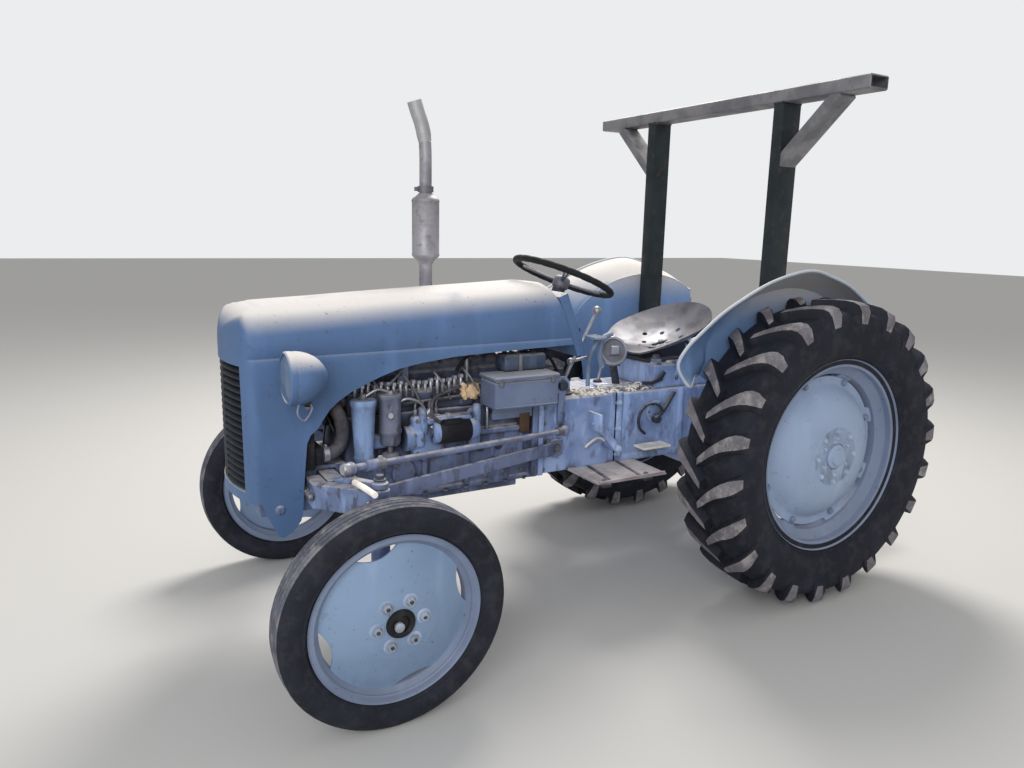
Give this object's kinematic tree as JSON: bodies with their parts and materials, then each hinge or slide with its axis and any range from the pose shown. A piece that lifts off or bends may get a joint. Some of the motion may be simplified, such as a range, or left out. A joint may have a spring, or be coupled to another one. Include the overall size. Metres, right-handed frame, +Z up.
{
  "type": "vintage farm tractor",
  "caption": "Small vintage farm tractor with a tilting hood, steered front wheels, roll bar and rear three-point linkage.",
  "frame": {"origin": "on the ground, under the middle of the overall length and width", "axes": "+Z up, +Y towards the rear, so the tractor drives along -Y; +X is its left side"},
  "size_m": [1.545, 2.9177, 1.978],
  "materials": {
    "body_paint": "faded blue-grey paint, dusty on top",
    "engine_paint": "grimy grey-blue engine paint with rust and dust",
    "rear_wheel_paint": "worn silvery grey paint",
    "front_wheel_paint": "pale blue-grey paint, greasy at the hub",
    "tyre": "old rubber with brown-grey dust on the tread",
    "dark_steel": "dark green-black paint, scratched",
    "bare_steel": "bare worn steel",
    "exhaust_steel": "silver-grey heatproof paint with rust",
    "black_rim": "worn black",
    "hose_rubber": "perished black rubber",
    "black_metal": "greasy black paint"
  },
  "bodies": {
    "chassis": {"engine_block": "engine_paint", "cylinder_head": "engine_paint", "injection_pump": "engine_paint", "starter_motor": "black_metal", "manifold": "engine_paint", "exhaust_stack": "exhaust_steel", "radiator": "black_metal", "coolant_hoses": "hose_rubber", "fan": "black_metal", "front_support": "engine_paint", "front_axle_beam": "engine_paint", "axle_arms": "engine_paint", "radius_rods": "engine_paint", "clutch_housing": "engine_paint", "rear_housing": "engine_paint", "lift_cover": "engine_paint", "axle_trumpets": "engine_paint", "steering_column": "engine_paint", "dash_panel": "body_paint", "fuel_tank": "body_paint", "battery_box": "body_paint", "footrests": "bare_steel", "pedals": "engine_paint", "levers": "black_metal", "seat": "bare_steel", "seat_bracket": "engine_paint", "fenders": "body_paint", "roll_bar": "dark_steel"},
    "hood": {"hood": "body_paint", "grille": "body_paint", "headlamps": "body_paint"},
    "steering_wheel": {"steering_wheel": "black_rim"},
    "knuckle_left": {"knuckle_left": "engine_paint"},
    "drop_arm_left": {"drop_arm_left": "engine_paint"},
    "drag_link_left": {"drag_link_left": "bare_steel"},
    "front_wheel_left": {"front_tyre_left": "tyre", "front_rim_left": "front_wheel_paint"},
    "rear_wheel_left": {"rear_tyre_left": "tyre", "rear_rim_left": "rear_wheel_paint", "rear_disc_left": "rear_wheel_paint"},
    "knuckle_right": {"knuckle_right": "engine_paint"},
    "drop_arm_right": {"drop_arm_right": "engine_paint"},
    "drag_link_right": {"drag_link_right": "bare_steel"},
    "front_wheel_right": {"front_tyre_right": "tyre", "front_rim_right": "front_wheel_paint"},
    "rear_wheel_right": {"rear_tyre_right": "tyre", "rear_rim_right": "rear_wheel_paint", "rear_disc_right": "rear_wheel_paint"},
    "lift_arms": {"lift_arms": "engine_paint"},
    "lift_rod_left": {"lift_rod_left": "engine_paint"},
    "lower_link_left": {"lower_link_left": "engine_paint"},
    "lift_rod_right": {"lift_rod_right": "engine_paint"},
    "lower_link_right": {"lower_link_right": "engine_paint"}
  },
  "joints": [
    {"name": "steer_left", "type": "hinge", "parent": "chassis", "child": "knuckle_left", "pos_m": [0.56, -1.11492, 0.64], "axis": [0, 0, 1], "range_deg": [-35, 35]},
    {"name": "steer_right", "type": "hinge", "parent": "chassis", "child": "knuckle_right", "pos_m": [-0.56, -1.11492, 0.64], "axis": [0, 0, 1], "range_deg": [-35, 35]},
    {"name": "steering_wheel_turn", "type": "hinge", "parent": "chassis", "child": "steering_wheel", "pos_m": [0, -0.14392, 1.25], "axis": [0, 0.3746, 0.9272], "range_deg": [-410, 410]},
    {"name": "drop_arm_swing_left", "type": "hinge", "parent": "chassis", "child": "drop_arm_left", "pos_m": [0.21, -0.27092, 0.861], "axis": [1, 0, 0], "range_deg": [-26, 26]},
    {"name": "drag_link_yaw_left", "type": "hinge", "parent": "knuckle_left", "child": "drag_link_left", "pos_m": [0.47, -1.17492, 0.732], "axis": [0, 0, 1], "range_deg": [-40, 40]},
    {"name": "front_wheel_spin_left", "type": "hinge", "parent": "knuckle_left", "child": "front_wheel_left", "pos_m": [0.6605, -1.11492, 0.34409], "axis": [0.9994, 0, -0.0349], "continuous": true},
    {"name": "rear_wheel_spin_left", "type": "hinge", "parent": "chassis", "child": "rear_wheel_left", "pos_m": [0.6095, 0.66308, 0.6], "axis": [1, 0, 0], "continuous": true},
    {"name": "drop_arm_swing_right", "type": "hinge", "parent": "chassis", "child": "drop_arm_right", "pos_m": [-0.21, -0.27092, 0.861], "axis": [1, 0, 0], "range_deg": [-26, 26]},
    {"name": "drag_link_yaw_right", "type": "hinge", "parent": "knuckle_right", "child": "drag_link_right", "pos_m": [-0.47, -1.17492, 0.732], "axis": [0, 0, 1], "range_deg": [-40, 40]},
    {"name": "front_wheel_spin_right", "type": "hinge", "parent": "knuckle_right", "child": "front_wheel_right", "pos_m": [-0.6605, -1.11492, 0.34409], "axis": [0.9994, 0, 0.0349], "continuous": true},
    {"name": "rear_wheel_spin_right", "type": "hinge", "parent": "chassis", "child": "rear_wheel_right", "pos_m": [-0.6095, 0.66308, 0.6], "axis": [1, 0, 0], "continuous": true},
    {"name": "hood_tilt", "type": "hinge", "parent": "chassis", "child": "hood", "pos_m": [0, -1.32592, 0.541], "axis": [1, 0, 0], "range_deg": [0, 65]},
    {"name": "lift_raise", "type": "hinge", "parent": "chassis", "child": "lift_arms", "pos_m": [0, 0.73308, 0.9], "axis": [1, 0, 0], "range_deg": [0, 45]},
    {"name": "lift_rod_swing_left", "type": "hinge", "parent": "lift_arms", "child": "lift_rod_left", "pos_m": [0.176, 1.01867, 0.84964], "axis": [1, 0, 0], "range_deg": [-46, 1]},
    {"name": "lower_link_raise_left", "type": "hinge", "parent": "chassis", "child": "lower_link_left", "pos_m": [0.19, 0.64308, 0.41], "axis": [1, 0, 0], "range_deg": [-1, 46]},
    {"name": "lift_rod_swing_right", "type": "hinge", "parent": "lift_arms", "child": "lift_rod_right", "pos_m": [-0.176, 1.01867, 0.84964], "axis": [1, 0, 0], "range_deg": [-46, 1]},
    {"name": "lower_link_raise_right", "type": "hinge", "parent": "chassis", "child": "lower_link_right", "pos_m": [-0.19, 0.64308, 0.41], "axis": [1, 0, 0], "range_deg": [-1, 46]}
  ],
  "couplings": [
    {"joint": "steer_right", "follows": "steer_left", "ratio": 1},
    {"joint": "steering_wheel_turn", "follows": "steer_left", "ratio": 11.6},
    {"joint": "drop_arm_swing_left", "follows": "steer_left", "ratio": -0.594},
    {"joint": "drop_arm_swing_right", "follows": "steer_left", "ratio": 0.594},
    {"joint": "drag_link_yaw_left", "follows": "steer_left", "ratio": -0.9375},
    {"joint": "drag_link_yaw_right", "follows": "steer_left", "ratio": -0.9375},
    {"joint": "lift_rod_swing_left", "follows": "lift_raise", "ratio": -1},
    {"joint": "lower_link_raise_left", "follows": "lift_raise", "ratio": 1},
    {"joint": "lift_rod_swing_right", "follows": "lift_raise", "ratio": -1},
    {"joint": "lower_link_raise_right", "follows": "lift_raise", "ratio": 1}
  ]
}
